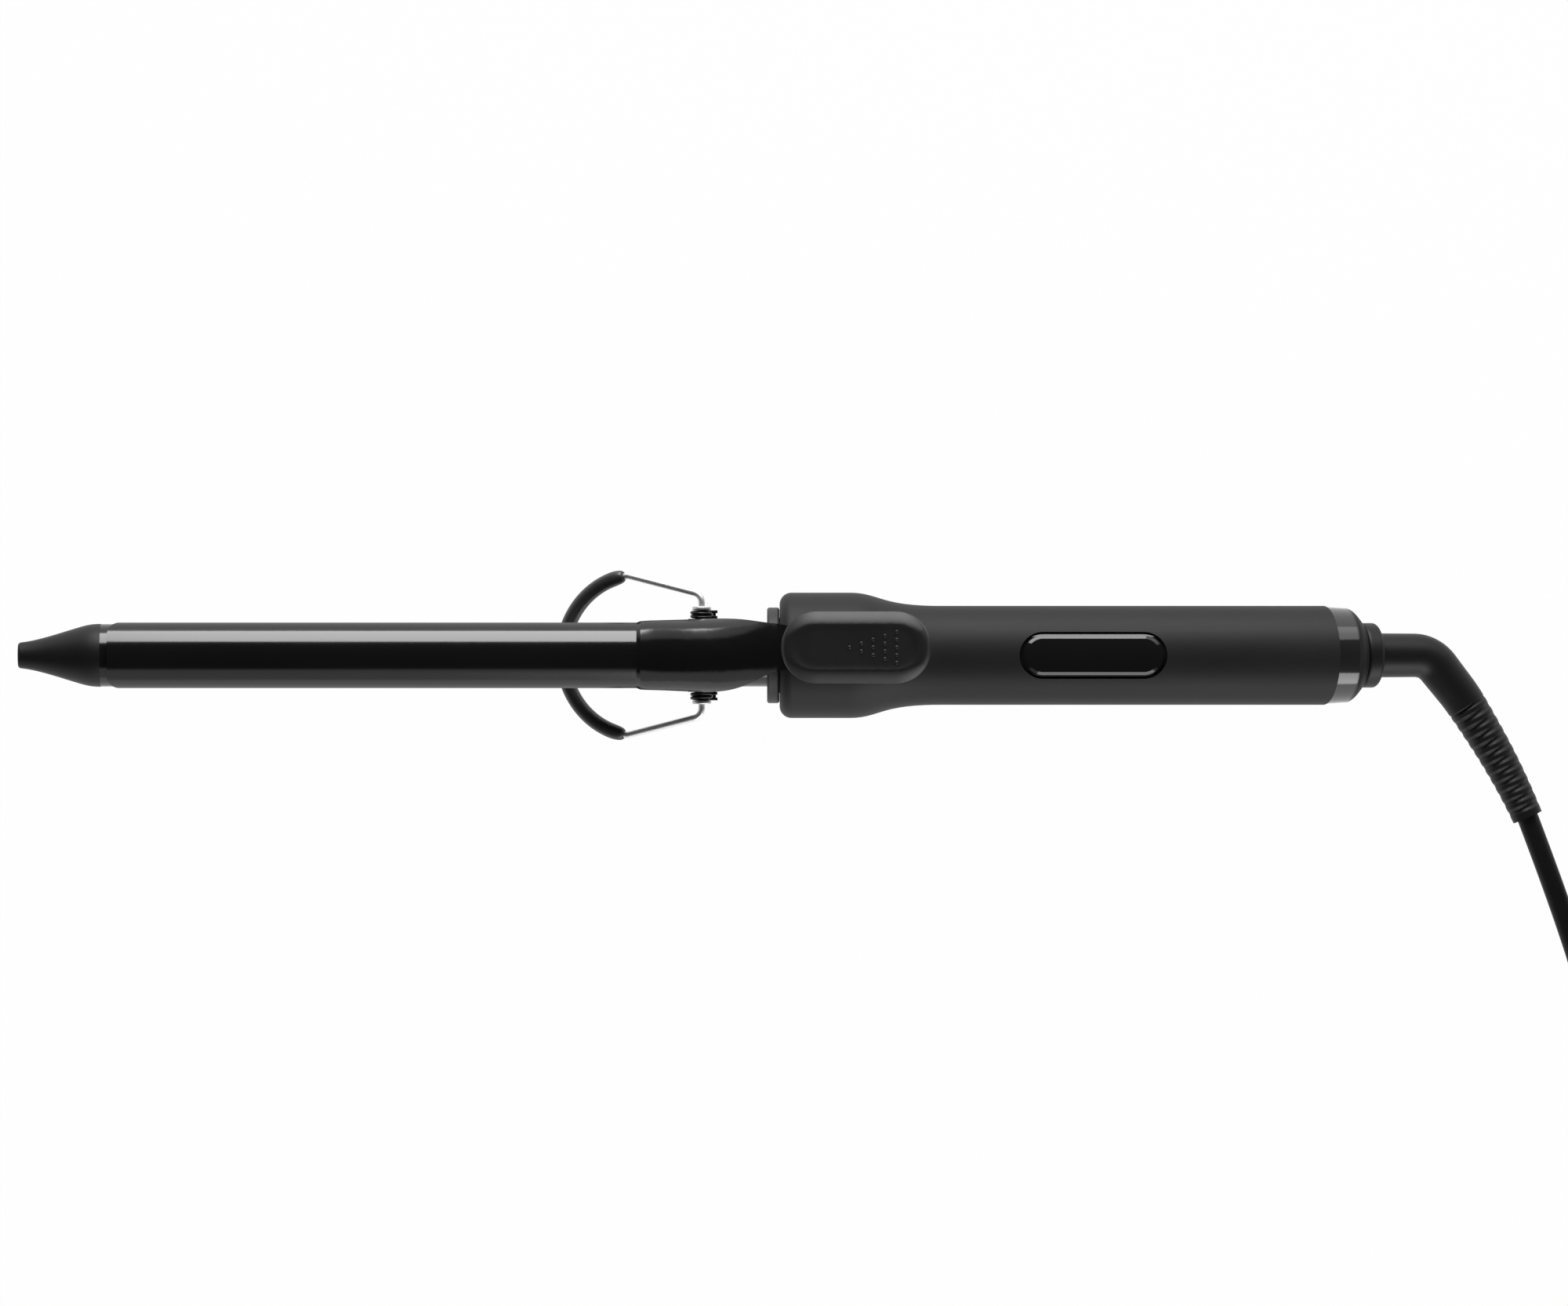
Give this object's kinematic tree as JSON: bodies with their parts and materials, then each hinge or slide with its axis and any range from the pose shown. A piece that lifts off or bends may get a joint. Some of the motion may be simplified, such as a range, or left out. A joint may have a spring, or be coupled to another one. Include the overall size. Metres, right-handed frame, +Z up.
{
  "type": "curling iron",
  "caption": "Black curling iron with a spring clamp over a round heated barrel, thumb lever, swing-down rest stand, display handle and swivel mains lead.",
  "frame": {"origin": "middle of the iron's length on the surface that it lies on, without its lead", "axes": "+X along the barrel axis from the cool tip to the cord end, +Z up, thumb lever on top"},
  "size_m": [0.5832, 0.1741, 0.0511],
  "materials": {
    "barrel_coat": "gloss black ceramic coating on the steel barrel and clamp",
    "tip_plastic": "matte black heat-proof moulding",
    "lever_plastic": "satin black moulding with a raised rim",
    "handle_plastic": "matte charcoal soft-touch moulding",
    "ring_plastic": "semi-gloss black moulding",
    "lens_plastic": "gloss black display window",
    "bright_steel": "bright plated steel",
    "black_steel": "blackened spring steel",
    "stand_rubber": "gloss black heat-proof sleeve",
    "boot_rubber": "satin black moulded boot",
    "cord_jacket": "smooth black flex",
    "plug_plastic": "moulded black plug",
    "pin_brass": "nickel-bright contact pins and rings",
    "heater_metal": "bare extruded aluminium",
    "heater_ceramic": "white sintered heater plate",
    "inner_plastic": "natural white inner moulding",
    "board": "green glass-epoxy board",
    "display": "dark numeric display",
    "wire_cover": "glass-fibre sleeved wire"
  },
  "bodies": {
    "handle": {"barrel_tube": "barrel_coat", "cool_tip": "tip_plastic", "heater_upper_half": "heater_metal", "heater_lower_half": "heater_metal", "ceramic_heater": "heater_ceramic", "temperature_sensor": "display", "thermal_fuse": "bright_steel", "heater_leads": "wire_cover", "pivot_bracket": "black_steel", "pivot_studs": "bright_steel", "spring_bushes": "black_steel", "torsion_spring_left": "black_steel", "torsion_spring_right": "black_steel", "barrel_collar": "handle_plastic", "handle_upper_shell": "handle_plastic", "handle_lower_shell": "handle_plastic", "handle_screws": "black_steel", "display_lens": "lens_plastic", "display_module": "display", "touch_pads": "inner_plastic", "circuit_board": "board", "mains_wires": "wire_cover", "end_ring": "ring_plastic", "contact_block": "inner_plastic", "brush_contacts": "pin_brass", "cord_lead": "cord_jacket", "cord_coil": "cord_jacket", "cord_tail": "cord_jacket", "cord_tie": "cord_jacket", "plug_body": "plug_plastic", "plug_pins": "pin_brass"},
    "clamp": {"clamp_blade": "barrel_coat", "thumb_lever": "lever_plastic", "lever_rivets": "bright_steel"},
    "stand": {"stand_wire": "bright_steel", "stand_sleeve": "stand_rubber"},
    "swivel": {"swivel_spindle": "inner_plastic", "slip_rings": "pin_brass", "swivel_collar": "ring_plastic", "strain_relief": "boot_rubber"}
  },
  "joints": [
    {"name": "clamp_hinge", "type": "hinge", "parent": "handle", "child": "clamp", "pos_m": [0.00014, 0, 0.019], "axis": [0, 1, 0], "range_deg": [0, 6], "stiffness_Nm_per_rad": 0.5, "springref_deg": -17.19, "deforming": ["torsion_spring_left", "torsion_spring_right"]},
    {"name": "stand_hinge", "type": "hinge", "parent": "handle", "child": "stand", "pos_m": [0.00014, 0, 0.019], "axis": [0, -1, 0], "range_deg": [-6, 73]},
    {"name": "cord_swivel", "type": "hinge", "parent": "handle", "child": "swivel", "pos_m": [0.18844, 0, 0.019], "axis": [-0.9563, 0, 0.2924], "continuous": true}
  ]
}
